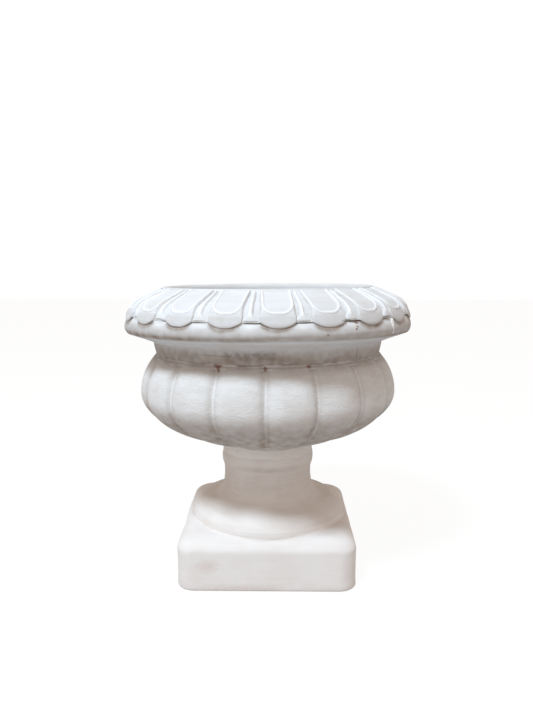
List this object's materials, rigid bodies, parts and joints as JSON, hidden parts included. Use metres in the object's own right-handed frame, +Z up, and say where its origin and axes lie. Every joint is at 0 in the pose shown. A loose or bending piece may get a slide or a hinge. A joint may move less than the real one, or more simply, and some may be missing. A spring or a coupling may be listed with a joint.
{
  "type": "urn vase",
  "caption": "Footed garden urn of whitewashed earthenware: square hollow plinth, round pedestal, lobed bowl and a rolled rim with raised tongues and darts.",
  "frame": {"origin": "centre of the plinth's underside, on the floor", "axes": "+Z up along the axis of turning; -Y is the front; the plinth's sides face X and Y"},
  "size_m": [0.3008, 0.3008, 0.3],
  "materials": {
    "whitewashed_plinth": "matt chalky white paint on fired earthenware",
    "whitewashed_pedestal": "matt chalky white paint on fired earthenware",
    "whitewashed_bowl": "matt chalky white paint with brush marks on fired earthenware",
    "whitewashed_rim": "matt chalky white paint with chips and runs on fired earthenware",
    "whitewashed_tongue": "thick matt white paint on moulded earthenware",
    "whitewashed_dart": "thick matt white paint on moulded earthenware",
    "slip": "dry clay slip, partly painted"
  },
  "bodies": {
    "root": {"plinth": "whitewashed_plinth", "foot_bed": "slip", "pedestal": "whitewashed_pedestal", "collar_bed": "slip", "bowl": "whitewashed_bowl", "neck_bed": "slip", "rim": "whitewashed_rim", "tongue_01": "whitewashed_tongue", "tongue_02": "whitewashed_tongue", "tongue_03": "whitewashed_tongue", "tongue_04": "whitewashed_tongue", "tongue_05": "whitewashed_tongue", "tongue_06": "whitewashed_tongue", "tongue_07": "whitewashed_tongue", "tongue_08": "whitewashed_tongue", "tongue_09": "whitewashed_tongue", "tongue_10": "whitewashed_tongue", "tongue_11": "whitewashed_tongue", "tongue_12": "whitewashed_tongue", "tongue_13": "whitewashed_tongue", "tongue_14": "whitewashed_tongue", "tongue_15": "whitewashed_tongue", "tongue_16": "whitewashed_tongue", "tongue_17": "whitewashed_tongue", "tongue_18": "whitewashed_tongue", "tongue_19": "whitewashed_tongue", "tongue_20": "whitewashed_tongue", "dart_01": "whitewashed_dart", "dart_02": "whitewashed_dart", "dart_03": "whitewashed_dart", "dart_04": "whitewashed_dart", "dart_05": "whitewashed_dart", "dart_06": "whitewashed_dart", "dart_07": "whitewashed_dart", "dart_08": "whitewashed_dart", "dart_09": "whitewashed_dart", "dart_10": "whitewashed_dart", "dart_11": "whitewashed_dart", "dart_12": "whitewashed_dart", "dart_13": "whitewashed_dart", "dart_14": "whitewashed_dart", "dart_15": "whitewashed_dart", "dart_16": "whitewashed_dart", "dart_17": "whitewashed_dart", "dart_18": "whitewashed_dart", "dart_19": "whitewashed_dart", "dart_20": "whitewashed_dart"}
  },
  "joints": []
}
